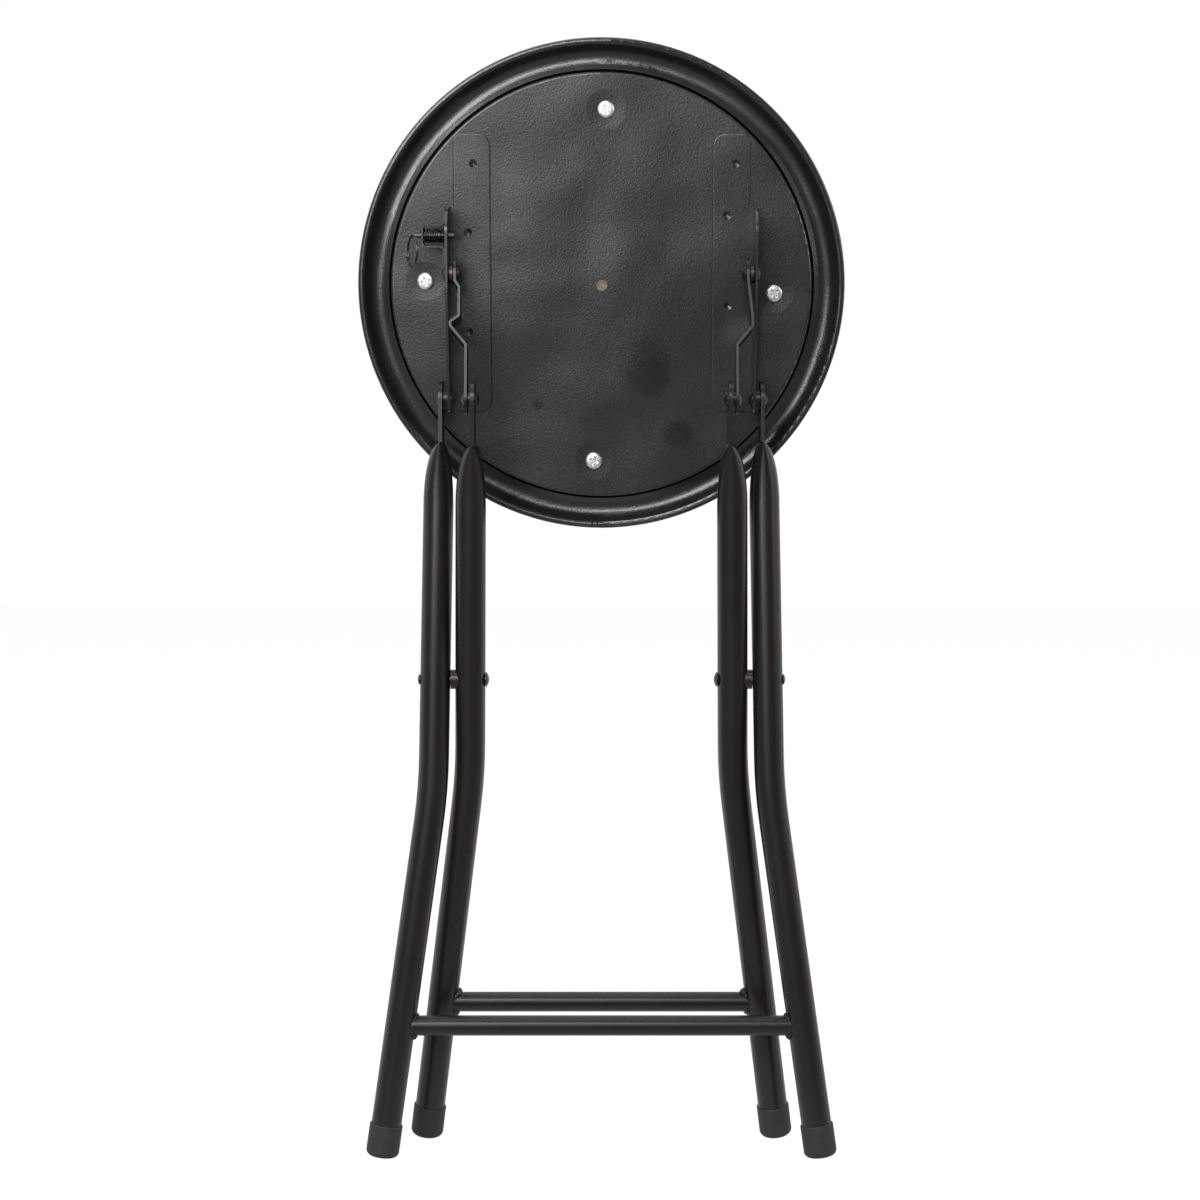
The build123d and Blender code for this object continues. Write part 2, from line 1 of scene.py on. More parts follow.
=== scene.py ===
from math import atan2, cos, hypot, pi, radians, sin

import bmesh
import bpy
from mathutils import Matrix, Vector


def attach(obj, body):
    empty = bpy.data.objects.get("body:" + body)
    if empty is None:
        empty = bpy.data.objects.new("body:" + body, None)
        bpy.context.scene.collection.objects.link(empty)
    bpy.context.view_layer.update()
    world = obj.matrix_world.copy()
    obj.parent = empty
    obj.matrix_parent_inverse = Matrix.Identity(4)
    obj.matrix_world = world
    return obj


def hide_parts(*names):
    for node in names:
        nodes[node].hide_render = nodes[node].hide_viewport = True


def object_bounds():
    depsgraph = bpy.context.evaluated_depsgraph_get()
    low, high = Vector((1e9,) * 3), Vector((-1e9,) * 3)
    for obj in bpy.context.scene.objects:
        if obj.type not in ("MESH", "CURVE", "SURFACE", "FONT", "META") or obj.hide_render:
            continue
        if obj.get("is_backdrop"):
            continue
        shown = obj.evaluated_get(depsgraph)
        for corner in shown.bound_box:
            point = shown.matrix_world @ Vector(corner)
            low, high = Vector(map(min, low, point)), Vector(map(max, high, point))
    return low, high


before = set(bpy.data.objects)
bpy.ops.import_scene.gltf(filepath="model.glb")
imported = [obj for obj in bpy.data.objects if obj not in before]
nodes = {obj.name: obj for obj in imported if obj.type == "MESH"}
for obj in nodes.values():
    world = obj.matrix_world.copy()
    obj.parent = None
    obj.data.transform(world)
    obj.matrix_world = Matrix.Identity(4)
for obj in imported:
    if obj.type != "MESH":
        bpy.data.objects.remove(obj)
cad_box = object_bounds()

# The seat's own axes, in the frame's metres: right, up along the underside, out of the underside
seat_middle = Vector((0.0, -0.001707, 0.534749))
seat_right = Vector((1.0, 0.0, 0.0))
seat_up = Vector((0.0, -0.117020, 0.993130))
seat_out = Vector((0.0, -0.993130, -0.117020))
seat_turn = Matrix((seat_right, seat_up, seat_out)).transposed()


def on_seat(x, y, z):
    """A point of the seat's axes, given in millimetres, in the frame's metres."""
    return seat_middle + (seat_right * x + seat_up * y + seat_out * z) * 0.001


# Materials

class Finish:
    """A material with its principled shader, on the object's own coordinates."""

    def __init__(self, name, rough, metal=0.0, shine=0.5):
        self.material = bpy.data.materials.new(name)
        self.material.use_nodes = True
        self.tree = self.material.node_tree
        self.shader = self.tree.nodes["Principled BSDF"]
        self.shader.inputs["Roughness"].default_value = rough
        self.shader.inputs["Metallic"].default_value = metal
        self.shader.inputs["Specular IOR Level"].default_value = shine
        self.place = self.tree.nodes.new("ShaderNodeTexCoord").outputs["Object"]

    def node(self, kind, **values):
        made = self.tree.nodes.new(kind)
        for key, value in values.items():
            setattr(made, key, value)
        return made

    def join(self, start, end):
        self.tree.links.new(start, end)

    def stretched(self, scale, turn=(0, 0, 0)):
        """The object's coordinates, turned and then stretched."""
        mapping = self.node("ShaderNodeMapping", vector_type="TEXTURE")
        mapping.inputs["Rotation"].default_value = turn
        mapping.inputs["Scale"].default_value = scale
        self.join(self.place, mapping.inputs["Vector"])
        return mapping.outputs["Vector"]

    def noise(self, scale, detail=2.0, rough=0.5, place=None):
        """Soft noise, with scale in cells a metre."""
        made = self.node("ShaderNodeTexNoise")
        made.inputs["Scale"].default_value = scale
        made.inputs["Detail"].default_value = detail
        made.inputs["Roughness"].default_value = rough
        self.join(place or self.place, made.inputs["Vector"])
        return made.outputs["Fac"]

    def cells(self, scale):
        """Soft cell pattern, with scale in cells a metre."""
        made = self.node("ShaderNodeTexVoronoi", feature="SMOOTH_F1")
        made.inputs["Scale"].default_value = scale
        self.join(self.place, made.inputs["Vector"])
        return made.outputs["Distance"]

    def ramp(self, value, low, high, start=0.3, end=0.7):
        """Colours from low to high as the value goes from start to end."""
        made = self.node("ShaderNodeValToRGB")
        first, last = made.color_ramp.elements
        first.position = start
        first.color = (*low, 1)
        last.position = end
        last.color = (*high, 1)
        self.join(value, made.inputs["Fac"])
        return made.outputs["Color"]

    def spread(self, value, low, high, start=0.3, end=0.7):
        """A number from low to high as the value goes from start to end."""
        made = self.node("ShaderNodeMapRange")
        made.inputs["From Min"].default_value = start
        made.inputs["From Max"].default_value = end
        made.inputs["To Min"].default_value = low
        made.inputs["To Max"].default_value = high
        self.join(value, made.inputs["Value"])
        return made.outputs["Result"]

    def near(self, point, radius):
        """1 at a point, fading to 0 at a distance from it."""
        made = self.node("ShaderNodeVectorMath", operation="DISTANCE")
        self.join(self.place, made.inputs[0])
        made.inputs[1].default_value = point
        return self.spread(made.outputs["Value"], 1.0, 0.0, 0.0, radius)

    def radius(self, middle, axis):
        """Distance from an axis through a point."""
        offset = self.node("ShaderNodeVectorMath", operation="SUBTRACT")
        self.join(self.place, offset.inputs[0])
        offset.inputs[1].default_value = middle
        across = self.node("ShaderNodeVectorMath", operation="CROSS_PRODUCT")
        self.join(offset.outputs["Vector"], across.inputs[0])
        across.inputs[1].default_value = axis
        made = self.node("ShaderNodeVectorMath", operation="LENGTH")
        self.join(across.outputs["Vector"], made.inputs[0])
        return made.outputs["Value"]

    def sum(self, first, second, operation="ADD"):
        """Two numbers added, or joined by another operation."""
        made = self.node("ShaderNodeMath", operation=operation)
        self.join(first, made.inputs[0])
        self.join(second, made.inputs[1])
        return made.outputs["Value"]

    def blended(self, share, first, second):
        """One colour over another, by share."""
        made = self.node("ShaderNodeMix", data_type="RGBA")
        self.join(share, made.inputs["Factor"])
        self.join(first, made.inputs["A"])
        self.join(second, made.inputs["B"])
        return made.outputs["Result"]

    def colour(self, value):
        self.join(value, self.shader.inputs["Base Color"])

    def rough(self, value):
        self.join(value, self.shader.inputs["Roughness"])

    def relief(self, height, depth, strength=1.0, below=None):
        """Bump of that depth in metres, over another bump if there is one."""
        made = self.node("ShaderNodeBump")
        made.inputs["Strength"].default_value = strength
        made.inputs["Distance"].default_value = depth
        self.join(height, made.inputs["Height"])
        if below:
            self.join(below, made.inputs["Normal"])
        self.join(made.outputs["Normal"], self.shader.inputs["Normal"])
        return made.outputs["Normal"]


def powder_coat(name, dark, light, rough, peel_depth, shine=0.5):
    """Black powder coat: orange peel, uneven sheen and slightly cloudy colour."""
    coat = Finish(name, rough, shine=shine)
    clouds = coat.noise(22.0, 4.0, 0.6)
    coat.colour(coat.ramp(clouds, dark, light))
    specks = coat.noise(420.0, 2.0)
    coat.rough(coat.spread(specks, rough - 0.012, rough + 0.016))
    peel = coat.noise(820.0, 1.5)
    coat.relief(peel, peel_depth, 0.6)
    return coat


# Middle of the bush on each link rivet, from the stool's middle, and half its width, in metres
bush_middle = 0.09075
bush_half = 0.0008
bush_blur = 0.0001

# Marks on the pan's coat in the seat's millimetres: middle x, y, z and reach
grease_marks = (
    (24.0, -45.5, 0.0, 24.0),
    (31.5, -57.0, 0.0, 15.0),
    (48.0, -91.0, 0.0, 13.0),
    (-39.5, -72.0, 0.0, 5.0),
)
lip_notch = (-4.3, -146.9, -3.6, 2.4)

# The board inside the pan, in metres: its edge from the middle, and the vinyl turned under it
board_edge = 0.1250
vinyl_turned = 0.0200
vinyl_blur = 0.0010

# The step round the pan's disc, painted near-black and dull as the shade in its gap, in metres from the
# middle
disc_edge = 0.1290
trough_edge = 0.1315
step_blur = 0.0004

# Cushion screws in the seat's millimetres, and how far the sheet is drawn in round them, in metres
screw_seats = ((2.7, 106.9), (-4.7, -106.9), (-107.9, 3.7), (105.9, -3.7))
dish_reach = 0.012
dish_depth = 0.0009

# Spot welds on the brackets' bases in the seat's millimetres, and the size of their dents in metres
spot_welds = (
    (-78.1, 74.6),
    (-81.6, 33.2),
    (-81.6, -27.0),
    (81.8, 74.6),
    (76.6, 43.5),
    (77.7, -11.1),
)
weld_height = 1.2
weld_reach = 0.0026
weld_depth = 0.0016

# Other relief of the pan in metres: waves of the sheet and the dent of the notch in its lip
wave_depth = 0.010
notch_depth = 0.0012


def pan_coat_finish():
    """The pan's coat: sheet that waves a little, dents, grease marks, painted shade in the lip's notch and on
    the step.
    """
    dark = (0.0085, 0.0085, 0.0088)
    light = (0.0135, 0.0135, 0.014)
    coat = powder_coat("pan_coat", dark, light, rough=0.29, peel_depth=0.00018, shine=0.85)
    shader = coat.shader
    peel = shader.inputs["Normal"].links[0].from_socket
    clear = shader.inputs["Base Color"].links[0].from_socket
    sheen = shader.inputs["Roughness"].links[0].from_socket
    waves = coat.noise(9.0, 2.0, 0.45)
    bent = coat.relief(waves, wave_depth, 0.6, peel)
    dishes = None
    for x, y in screw_seats:
        dish = coat.near(on_seat(x, y, 0.0), dish_reach)
        dishes = coat.sum(dishes, dish) if dishes else dish
    bent = coat.relief(dishes, -dish_depth, 0.6, bent)
    pits = None
    for x, y in spot_welds:
        pit = coat.near(on_seat(x, y, weld_height), weld_reach)
        pits = coat.sum(pits, pit) if pits else pit
    bent = coat.relief(pits, -weld_depth, 0.8, bent)
    streaks = coat.noise(60.0, 5.0, 0.65)
    greasy = None
    for x, y, z, reach in grease_marks:
        mark = coat.near(on_seat(x, y, z), reach * 0.001)
        greasy = coat.sum(greasy, mark, "MAXIMUM") if greasy else mark
    smears = coat.spread(coat.noise(32.0, 1.0, 0.4), 0.6, 1.2)
    greasy = coat.spread(coat.sum(greasy, smears, "MULTIPLY"), 0.0, 1.0, 0.16, 0.52)
    dull = coat.ramp(streaks, (0.006, 0.006, 0.0062), (0.011, 0.011, 0.0113))
    coloured = coat.blended(greasy, clear, dull)
    x, y, z, reach = lip_notch
    # The lip's notch: a dent, its colour painted near-black as the shade in it
    notch_shade = coat.spread(coat.near(on_seat(x, y, z), reach * 0.001), 0.0, 1.0, 0.15, 0.45)
    # Near-black painted shade, for the lip's notch and the step's wall
    painted_shade_black = coat.ramp(streaks, (0.0008, 0.0008, 0.0008), (0.002, 0.002, 0.002))
    coat.colour(coat.blended(notch_shade, coloured, painted_shade_black))
    coat.relief(notch_shade, -notch_depth, 1.0, bent)
    slick = coat.sum(sheen, coat.spread(greasy, 0.0, -0.07, 0.0, 1.0))
    out_from_middle = coat.radius(seat_middle, seat_out)
    past_disc = coat.spread(out_from_middle, 0.0, 1.0, disc_edge, disc_edge + step_blur)
    short_of_trough = coat.spread(out_from_middle, 1.0, 0.0, trough_edge - step_blur, trough_edge)
    # Painted shade: the step's wall between disc and trough is coloured near-black, made metallic and
    # rougher, so it stays dark like a shaded gap
    corner = coat.sum(past_disc, short_of_trough, "MULTIPLY")
    coat.rough(coat.sum(slick, coat.spread(corner, 0.0, 0.6, 0.0, 1.0)))
    finished = shader.inputs["Base Color"].links[0].from_socket
    coat.colour(coat.blended(corner, finished, painted_shade_black))
    coat.join(corner, shader.inputs["Metallic"])
    return coat


def foot_rubber():
    """Matte moulded cap, with fine draw marks down its sides."""
    rubber = Finish("foot_rubber", 0.6, shine=0.4)
    mottle = rubber.noise(160.0, 4.0, 0.6)
    rubber.colour(rubber.ramp(mottle, (0.020, 0.020, 0.020), (0.033, 0.032, 0.032)))
    marks = rubber.noise(1.0, 3.0, 0.6, rubber.stretched((0.0011, 0.0011, 0.014)))
    grain = rubber.noise(2400.0, 2.0)
    rubber.relief(rubber.sum(marks, grain), 0.00008, 0.7)
    rubber.rough(rubber.spread(mottle, 0.52, 0.68))
    return rubber


def pressed_board():
    """Brown pressed fibre board, with black vinyl turned round its edge."""
    board = Finish("pressed_board", 0.85, shine=0.2)
    fibres = board.noise(1.0, 4.0, 0.7, board.stretched((0.004, 0.0012, 0.0012), (0.3, 0.7, 0.2)))
    brown = board.ramp(fibres, (0.12, 0.095, 0.075), (0.30, 0.25, 0.20))
    black = board.ramp(fibres, (0.008, 0.008, 0.008), (0.014, 0.014, 0.014))
    from_middle = board.radius(seat_middle, seat_out)
    inside = board_edge - vinyl_turned
    turned_under = board.spread(from_middle, 0.0, 1.0, inside, inside + vinyl_blur)
    board.colour(board.blended(turned_under, brown, black))
    board.relief(fibres, 0.0003, 0.6)
    return board


def zinc_plate():
    """Bright zinc plate on the screws, with faint turning marks."""
    zinc = Finish("zinc_plate", 0.22, metal=1.0)
    bloom = zinc.noise(900.0, 3.0)
    zinc.colour(zinc.ramp(bloom, (0.82, 0.84, 0.88), (0.96, 0.96, 0.96)))
    zinc.rough(zinc.spread(bloom, 0.30, 0.46))
    zinc.relief(bloom, 0.00003, 0.4)
    return zinc


def drawn_steel(name, dark, light, rough):
    """Drawn wire or turned pin of steel, with fine marks."""
    steel = Finish(name, rough, metal=1.0)
    marks = steel.noise(1500.0, 3.0, 0.6)
    steel.colour(steel.ramp(marks, dark, light))
    steel.rough(steel.spread(marks, rough - 0.08, rough + 0.1))
    steel.relief(marks, 0.00002, 0.5)
    return steel


def spacer_brass():
    """Tarnished yellow-brown bush between two black washers."""
    brass = Finish("spacer_brass", 0.4, metal=1.0)
    tarnish = brass.noise(700.0, 3.0, 0.6)
    bush = brass.ramp(tarnish, (0.075, 0.045, 0.022), (0.20, 0.125, 0.062))
    black = brass.ramp(tarnish, (0.012, 0.012, 0.012), (0.03, 0.03, 0.03))
    apart = brass.node("ShaderNodeSeparateXYZ")
    brass.join(brass.place, apart.inputs["Vector"])
    across = brass.node("ShaderNodeMath", operation="ABSOLUTE")
    brass.join(apart.outputs["X"], across.inputs[0])
    off_bush = brass.node("ShaderNodeMath", operation="SUBTRACT")
    brass.join(across.outputs["Value"], off_bush.inputs[0])
    off_bush.inputs[1].default_value = bush_middle
    away = brass.node("ShaderNodeMath", operation="ABSOLUTE")
    brass.join(off_bush.outputs["Value"], away.inputs[0])
    washer = brass.spread(away.outputs["Value"], 0.0, 1.0, bush_half - bush_blur, bush_half + bush_blur)
    brass.colour(brass.blended(washer, bush, black))
    brass.rough(brass.spread(tarnish, 0.3, 0.55))
    brass.relief(tarnish, 0.00003, 0.5)
    return brass


def cushion_vinyl():
    """Black cushion vinyl, with an embossed grain."""
    vinyl = Finish("cushion_vinyl", 0.45)
    clouds = vinyl.noise(30.0, 4.0, 0.6)
    vinyl.colour(vinyl.ramp(clouds, (0.012, 0.012, 0.013), (0.021, 0.021, 0.022)))
    hide = vinyl.cells(560.0)
    pores = vinyl.noise(1700.0, 2.0)
    creases = vinyl.relief(hide, 0.00022, 0.7)
    vinyl.relief(pores, 0.00006, 0.5, creases)
    vinyl.rough(vinyl.spread(hide, 0.36, 0.56, 0.1, 0.6))
    return vinyl


pan_coat = pan_coat_finish()
frame_dark = (0.0085, 0.0066, 0.0059)
frame_light = (0.0130, 0.0104, 0.0093)
frame_coat = powder_coat("frame_coat", frame_dark, frame_light, rough=0.33, peel_depth=0.00004, shine=0.42)
rivet_dark = (0.007, 0.007, 0.007)
rivet_light = (0.013, 0.0125, 0.012)
rivet_coat = powder_coat("rivet_coat", rivet_dark, rivet_light, rough=0.33, peel_depth=0.00005)
rubber = foot_rubber()
board = pressed_board()
zinc = zinc_plate()
pin_steel = drawn_steel("pin_steel", (0.045, 0.044, 0.043), (0.12, 0.117, 0.115), 0.30)
wire_steel = drawn_steel("wire_steel", (0.05, 0.049, 0.048), (0.15, 0.145, 0.14), 0.28)
brass = spacer_brass()
vinyl = cushion_vinyl()

finishes = {
    "seat_pan": pan_coat,
    "left_bracket": pan_coat,
    "right_bracket": pan_coat,
    "seat_board": board,
    "seat_cushion": vinyl,
    "cushion_screws": zinc,
    "lock_cage": pan_coat,
    "lock_pin": pin_steel,
    "pin_collar": pin_steel,
    "lock_spring": wire_steel,
    "pull_ring": wire_steel,
    "link_spacers": brass,
    "cross_spacers": rivet_coat,
    "cross_rivets": rivet_coat,
    "leg_rivets": rivet_coat,
    "leg_washers": rivet_coat,
    "link_rivets": rivet_coat,
    "link_end_rivets": rivet_coat,
    "inner_leg_rivets": rivet_coat,
}
for name, node in nodes.items():
    finish = finishes.get(name, rubber if name.endswith("foot") else frame_coat)
    node.data.materials.clear()
    node.data.materials.append(finish.material)


# Pieces

def mesh_piece(name, shape, finish):
    """A finished object from a bmesh, its place in its mesh."""
    bmesh.ops.remove_doubles(shape, verts=shape.verts, dist=0.000002)
    bmesh.ops.recalc_face_normals(shape, faces=shape.faces)
    mesh = bpy.data.meshes.new(name)
    shape.to_mesh(mesh)
    shape.free()
    for face in mesh.polygons:
        face.use_smooth = True
    mesh.materials.append(finish.material)
    piece = bpy.data.objects.new(name, mesh)
    bpy.context.collection.objects.link(piece)
    return piece


def skin(shape, rings, sides):
    """Faces between rings of vertices that follow each other, a ring of one being a tip."""
    for low, high in zip(rings, rings[1:]):
        for step in range(sides):
            after = (step + 1) % sides
            corners = [low[step % len(low)], low[after % len(low)]]
            corners += [high[after % len(high)], high[step % len(high)]]
            corners = list(dict.fromkeys(corners))
            if len(corners) > 2:
                shape.faces.new(corners)


def turned(profile, sides, place):
    """A closed body of revolution from (radius, height) points in millimetres."""
    shape = bmesh.new()
    rings = []
    for radius, height in profile:
        if radius < 1e-6:
            rings.append([shape.verts.new(place(0.0, 0.0, height))])
            continue
        ring = []
        for step in range(sides):
            angle = 2 * pi * step / sides
            ring.append(shape.verts.new(place(radius * cos(angle), radius * sin(angle), height)))
        rings.append(ring)
    skin(shape, rings, sides)
    return shape


def plain_mesh(piece, name):
    """What a piece's modifiers make, as a mesh of its own."""
    bpy.context.view_layer.update()
    depsgraph = bpy.context.evaluated_depsgraph_get()
    mesh = bpy.data.meshes.new_from_object(piece.evaluated_get(depsgraph))
    mesh.name = name
    piece.modifiers.clear()
    piece.data = mesh
    return piece


# Cushion: foam under vinyl, drawn in above the board. Millimetres; depths run from the pan's disc up to
# the crown.
cushion_low = 10.4
cushion_top = 39.0
cushion_r = 140.5
hem_r = 131.0
hem_drop = 2.4
brow_drop = 7.1
slack = 2.5
base_radii = (0.0, 40.0, 80.0, 115.0, 124.0)
side_steps = 14
crown_steps = 12
staple_depth = 3.5
flat_r = 126.0
flat_depth = 25.0
gather_depth = 4.0
gather_reach = 7.0
gather_in = 0.30

# The pad's mesh and its swelling, in metres
pad_voxel = 0.005
most_swell = 0.0028
foam_pressure = 4.0
foam_frames = 20


def cushion_profile():
    """The slack pad's section before the foam swells it."""
    section = [(radius, -cushion_low) for radius in base_radii]
    section.append((hem_r, -cushion_low - hem_drop))
    side = cushion_top - cushion_low - hem_drop - brow_drop
    for step in range(1, side_steps):
        turn = pi * step / side_steps
        depth = cushion_low + hem_drop + side * (1 - cos(turn)) / 2
        section.append((hem_r + (cushion_r - hem_r - slack) * sin(turn), -depth))
    brow = section[-1][1]
    for step in range(1, crown_steps):
        share = step / crown_steps
        rise = (cushion_top - slack + brow) * (1 - (1 - share) ** 2)
        section.append((hem_r * (1 - share), brow - rise))
    section.append((0.0, -cushion_top + slack))
    return section


def swell(pad):
    """Cloth pressure blows the cover up a little, held where it is stapled."""
    start = [vertex.co.copy() for vertex in pad.data.vertices]
    held = pad.vertex_groups.new(name="stapled")
    for vertex in pad.data.vertices:
        depth = -(vertex.co - seat_middle).dot(seat_out) * 1000
        if depth < cushion_low + staple_depth:
            held.add([vertex.index], 1.0, "REPLACE")
    cloth = pad.modifiers.new("foam", "CLOTH")
    cloth.settings.use_pressure = True
    cloth.settings.uniform_pressure_force = foam_pressure
    cloth.settings.effector_weights.gravity = 0.0
    cloth.settings.vertex_group_mass = "stapled"
    cloth.settings.quality = 5
    scene = bpy.context.scene
    for step in range(1, foam_frames + 1):
        scene.frame_set(step)
    plain_mesh(pad, "cushion")
    scene.frame_set(1)
    for vertex, before in zip(pad.data.vertices, start):
        shift = vertex.co - before
        if shift.length > most_swell:
            vertex.co = before + shift * (most_swell / shift.length)


def gather(pad):
    """Flattens the pad on the board and draws its hem in by uneven folds."""
    for vertex in pad.data.vertices:
        local = vertex.co - seat_middle
        x = local.dot(seat_right) * 1000
        y = local.dot(seat_up) * 1000
        depth = -local.dot(seat_out) * 1000
        radius = hypot(x, y)
        if radius < flat_r and depth < flat_depth:
            vertex.co -= seat_out * max(0.0, cushion_low - depth) * 0.001
            continue
        around = atan2(y, x)
        folds = sin(41 * around) + 0.7 * sin(67 * around + 1.3) + 0.5 * sin(23 * around + 0.4)
        near_hem = max(0.0, 1.0 - abs(depth - cushion_low - gather_depth) / gather_reach)
        inward = (seat_right * x + seat_up * y) * (-0.001 / radius)
        vertex.co += inward * (gather_in * (1 + folds / 2.2) * near_hem)


def make_cushion():
    """The seat pad: swollen by its foam, then gathered at its hem."""
    pad = mesh_piece("cushion", turned(cushion_profile(), 160, on_seat), vinyl)
    remesh = pad.modifiers.new("even_mesh", "REMESH")
    remesh.mode = "VOXEL"
    remesh.voxel_size = pad_voxel
    plain_mesh(pad, "cushion")
    swell(pad)
    gather(pad)
    smooth = pad.modifiers.new("smooth_cover", "SUBSURF")
    smooth.levels = 1
    smooth.render_levels = 1
    plain_mesh(pad, "cushion")
    for face in pad.data.polygons:
        face.use_smooth = True
    if not pad.data.materials:
        pad.data.materials.append(vinyl.material)
    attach(pad, "seat")
    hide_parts("seat_cushion")


make_cushion()


# Node trees for what repeats or follows a path

class Tree:
    """A geometry node tree with named inputs, run once on an empty piece."""

    def __init__(self, name):
        self.name = name
        self.group = bpy.data.node_groups.new(name, "GeometryNodeTree")
        self.group.interface.new_socket("Geometry", in_out="INPUT", socket_type="NodeSocketGeometry")
        self.group.interface.new_socket("Geometry", in_out="OUTPUT", socket_type="NodeSocketGeometry")
        self.values = {}
        self.start = None

    def size(self, name, value, kind="NodeSocketFloat"):
        """A named input and its value."""
        socket = self.group.interface.new_socket(name, in_out="INPUT", socket_type=kind)
        self.values[socket.identifier] = value

    def given(self, name):
        """A named input, to link from."""
        if not self.start:
            self.start = self.group.nodes.new("NodeGroupInput")
        return self.start.outputs[name]

    def node(self, kind, links=None, **values):
        made = self.group.nodes.new(kind)
        for key, value in values.items():
            setattr(made, key, value)
        for key, source in (links or {}).items():
            if isinstance(source, bpy.types.NodeSocket):
                self.group.links.new(source, made.inputs[key])
            else:
                made.inputs[key].default_value = source
        return made

    def run(self, last, finish, mesh=None):
        """The plain object that the tree makes."""
        real = self.node("GeometryNodeRealizeInstances", {"Geometry": last})
        smooth = self.node("GeometryNodeSetShadeSmooth", {"Geometry": real.outputs["Geometry"]})
        coated = self.node("GeometryNodeSetMaterial", {"Geometry": smooth.outputs["Geometry"]})
        coated.inputs["Material"].default_value = finish.material
        end = self.group.nodes.new("NodeGroupOutput")
        self.group.links.new(coated.outputs["Geometry"], end.inputs["Geometry"])
        piece = bpy.data.objects.new(self.name, mesh or bpy.data.meshes.new(self.name))
        bpy.context.collection.objects.link(piece)
        modifier = piece.modifiers.new(self.name, "NODES")
        modifier.node_group = self.group
        for identifier, value in self.values.items():
            modifier[identifier] = value
        return plain_mesh(piece, self.name)


# Cushion screws: one turned head with a cross recess, set at four places. Millimetres and degrees.

screw_sides = 96
screw_head_r = 5.25
screw_head_h = 2.5
crown_drop = 0.35
rim_start_r = 3.6
rim_drop = 1.45
recess_reach = 2.75
recess_half_w = 0.62
recess_heart_r = 1.25
recess_depth = 1.5
inner_radii = [0.25 * step for step in range(1, 16)]
outer_radii = [4.0, 4.3, 4.55, 4.8, 5.0, 5.13, 5.22, screw_head_r]
shank = ((screw_head_r, 0.05), (2.0, 0.05), (2.0, -6.0))
shank_tip = -7.5
screw_turns = (22.0, 64.0, 12.0, 40.0)


def recess_at(x, y):
    """Depth of the cross recess at a point of the head."""
    reach = max(abs(x), abs(y))
    width = min(abs(x), abs(y))
    wing = min(1.0, max(0.0, (recess_half_w - width) / 0.22 + 0.5))
    end = min(1.0, max(0.0, (recess_reach - reach) / 0.9))
    heart = min(1.0, max(0.0, (recess_heart_r - hypot(x, y)) / 0.5))
    return recess_depth * max(wing * end, heart)


def screw_shape():
    """A pan head on a short shank, as a mesh in metres with its z out of the pan."""
    shape = bmesh.new()
    angles = [2 * pi * step / screw_sides for step in range(screw_sides)]
    rings = [[shape.verts.new((0.0, 0.0, screw_head_h - recess_depth))]]
    for radius in inner_radii + outer_radii:
        ring = []
        crown = screw_head_h - crown_drop * (radius / screw_head_r) ** 2
        over = max(0.0, radius - rim_start_r) / (screw_head_r - rim_start_r)
        crown -= rim_drop * (1 - (1 - over**2.2) ** 0.5)
        for angle in angles:
            x = radius * cos(angle)
            y = radius * sin(angle)
            ring.append(shape.verts.new((x, y, crown - recess_at(x, y))))
        rings.append(ring)
    for radius, height in shank:
        rings.append([shape.verts.new((radius * cos(a), radius * sin(a), height)) for a in angles])
    rings.append([shape.verts.new((0.0, 0.0, shank_tip))])
    skin(shape, rings, screw_sides)
    bmesh.ops.scale(shape, vec=(0.001, 0.001, 0.001), verts=shape.verts)
    bmesh.ops.rotate(shape, matrix=seat_turn, verts=shape.verts)
    return shape


def make_screws():
    """The four screws, each turned by its own angle."""
    pattern = mesh_piece("screw_pattern", screw_shape(), zinc)
    places = bmesh.new()
    for x, y in screw_seats:
        places.verts.new(on_seat(x, y, 0.0))
    turn_layer = places.verts.layers.float.new("turn")
    for vertex, turn in zip(places.verts, screw_turns):
        vertex[turn_layer] = radians(turn)
    mesh = bpy.data.meshes.new("screw_places")
    places.to_mesh(mesh)
    places.free()
    tree = Tree("pan_head_screws")
    tree.size("Screw", pattern, "NodeSocketObject")
    source = tree.node("GeometryNodeObjectInfo", {"Object": tree.given("Screw")})
    points = tree.node("GeometryNodeMeshToPoints", {"Mesh": tree.given("Geometry")})
    turned_by = tree.node("GeometryNodeInputNamedAttribute", {"Name": "turn"}, data_type="FLOAT")
    about = tree.node("FunctionNodeAxisAngleToRotation", {"Axis": seat_out})
    tree.group.links.new(turned_by.outputs["Attribute"], about.inputs["Angle"])
    links = {"Points": points.outputs["Points"], "Instance": source.outputs["Geometry"]}
    links["Rotation"] = about.outputs["Rotation"]
    placed = tree.node("GeometryNodeInstanceOnPoints", links)
    screws = tree.run(placed.outputs["Instances"], zinc, mesh)
    bpy.data.objects.remove(pattern)
    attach(screws, "seat")
    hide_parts("cushion_screws")


make_screws()


# Pull ring: a split ring of two turns through the hole in the pin's tail. Metres.

ring_hole = Vector((-0.1142, -0.02505, 0.56382))
ring_r = 0.0093
ring_wire_r = 0.00038
ring_pitch = 0.00080
ring_rounds = 2.15
ring_turn = radians(24.0)


